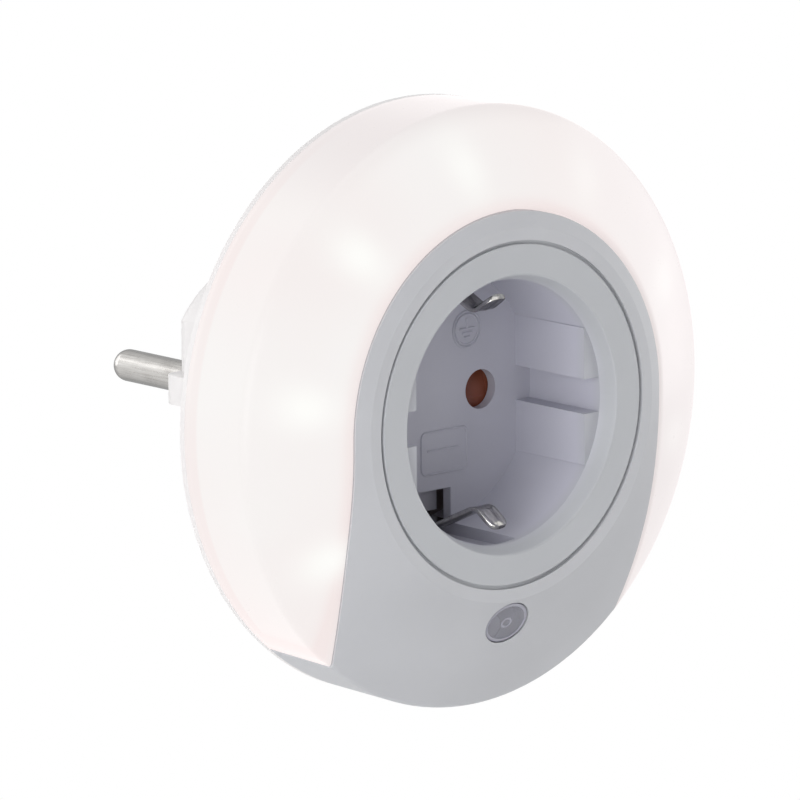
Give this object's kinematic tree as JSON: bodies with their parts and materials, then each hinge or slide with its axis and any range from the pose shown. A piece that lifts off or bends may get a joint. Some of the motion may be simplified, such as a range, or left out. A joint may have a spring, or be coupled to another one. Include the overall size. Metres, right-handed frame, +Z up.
{
  "type": "plug-in night light",
  "caption": "Round plug-in night light: opal domed rim of light, grey cover with a dusk sensor window, and a pass-through earthed socket with a shutter.",
  "frame": {"origin": "centre of the plug face, between the two pins", "axes": "+Z up, the light and the socket face -Y, the plug pins point along +Y, +X is to the right seen from the front"},
  "size_m": [0.089, 0.0765, 0.089],
  "materials": {
    "grey_cover": "fine satin moulded grey",
    "opal": "opal, translucent, lit from behind",
    "grey_insert": "satin moulded grey",
    "shutter_brown": "dark red brown, moulded",
    "spring_steel": "spring wire",
    "carrier_black": "dark moulded",
    "brass": "stamped strip",
    "nickel": "nickel plated, finely turned",
    "bright_nickel": "bright nickel plated strip",
    "white_plastic": "white moulded, satin",
    "screw_steel": "zinc plated",
    "board_white": "white solder mask",
    "led_yellow": "phosphor window",
    "sensor_dark": "dark clear resin",
    "clear_lens": "clear moulded lens",
    "capacitor_yellow": "boxed film capacitor",
    "capacitor_black": "sleeved can",
    "chip_black": "moulded package",
    "resistor_blue": "lacquered",
    "fuse_green": "sleeved",
    "wire_brown": "PVC sleeve",
    "wire_blue": "PVC sleeve"
  },
  "bodies": {
    "base": {"front_panel": "grey_cover", "diffuser": "opal", "socket_insert": "grey_insert", "contact_carrier": "carrier_black", "live_contact": "brass", "neutral_contact": "brass", "live_pin": "nickel", "neutral_pin": "nickel", "earth_strap": "brass", "upper_plug_earth": "bright_nickel", "lower_plug_earth": "bright_nickel", "rear_housing": "white_plastic", "case_screws": "screw_steel", "reflector": "white_plastic", "led_board": "board_white", "leds": "led_yellow", "light_sensor": "sensor_dark", "sensor_window": "clear_lens", "dropper_capacitor": "capacitor_yellow", "smoothing_capacitor": "capacitor_black", "bridge_rectifier": "chip_black", "resistors": "resistor_blue", "fuse": "fuse_green", "live_wire": "wire_brown", "neutral_wire": "wire_blue"},
    "shutter_body": {"shutter": "shutter_brown", "shutter_spring": "spring_steel"},
    "upper_clip_body": {"upper_earth_clip": "bright_nickel"},
    "lower_clip_body": {"lower_earth_clip": "bright_nickel"}
  },
  "joints": [
    {"name": "shutter_turn", "type": "hinge", "parent": "base", "child": "shutter_body", "pos_m": [0, -0.0371, 0.002], "axis": [0, 1, 0], "range_deg": [0, 42], "stiffness_Nm_per_rad": 0.004, "springref_deg": -20.05},
    {"name": "upper_clip_flex", "type": "hinge", "parent": "base", "child": "upper_clip_body", "pos_m": [0, -0.0339, 0.0204], "axis": [-1, 0, 0], "range_deg": [0, 5], "stiffness_Nm_per_rad": 0.5},
    {"name": "lower_clip_flex", "type": "hinge", "parent": "base", "child": "lower_clip_body", "pos_m": [0, -0.0339, -0.0164], "axis": [1, 0, 0], "range_deg": [0, 5], "stiffness_Nm_per_rad": 0.5}
  ]
}
